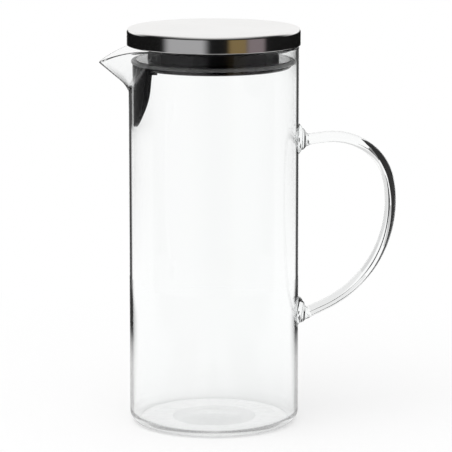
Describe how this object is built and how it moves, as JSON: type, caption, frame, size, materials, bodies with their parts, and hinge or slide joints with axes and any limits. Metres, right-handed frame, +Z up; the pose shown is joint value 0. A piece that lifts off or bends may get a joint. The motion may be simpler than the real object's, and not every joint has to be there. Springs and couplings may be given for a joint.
{
  "type": "glass pitcher with lid",
  "caption": "Straight-walled clear glass pitcher with a pulled spout, a bent glass rod handle and a lift-off steel lid whose tongue covers or opens the spout as the lid turns.",
  "frame": {"origin": "on the jug's axis, in the plane of the foot that it stands on", "axes": "+Z up along the jug's axis, +X towards the handle, -X towards the spout"},
  "size_m": [0.1835, 0.1072, 0.2466],
  "materials": {
    "glass": "clear, fire-polished",
    "steel": "satin top, polished band",
    "black_plastic": "gloss moulded",
    "silicone": "satin"
  },
  "bodies": {
    "glass": {"glass_body": "glass", "handle": "glass"},
    "seal": {"seal_ring": "silicone"},
    "lid": {"steel_cap": "steel", "lid_core": "black_plastic", "base_plate": "black_plastic", "pour_tongue": "black_plastic"}
  },
  "joints": [
    {"name": "lid_lift", "type": "slide", "parent": "glass", "child": "seal", "axis": [0, 0, 1], "range_m": [0, 0.08]},
    {"name": "lid_turn", "type": "hinge", "parent": "seal", "child": "lid", "pos_m": [0, 0, 0.241], "axis": [0, 0, 1], "continuous": true}
  ]
}
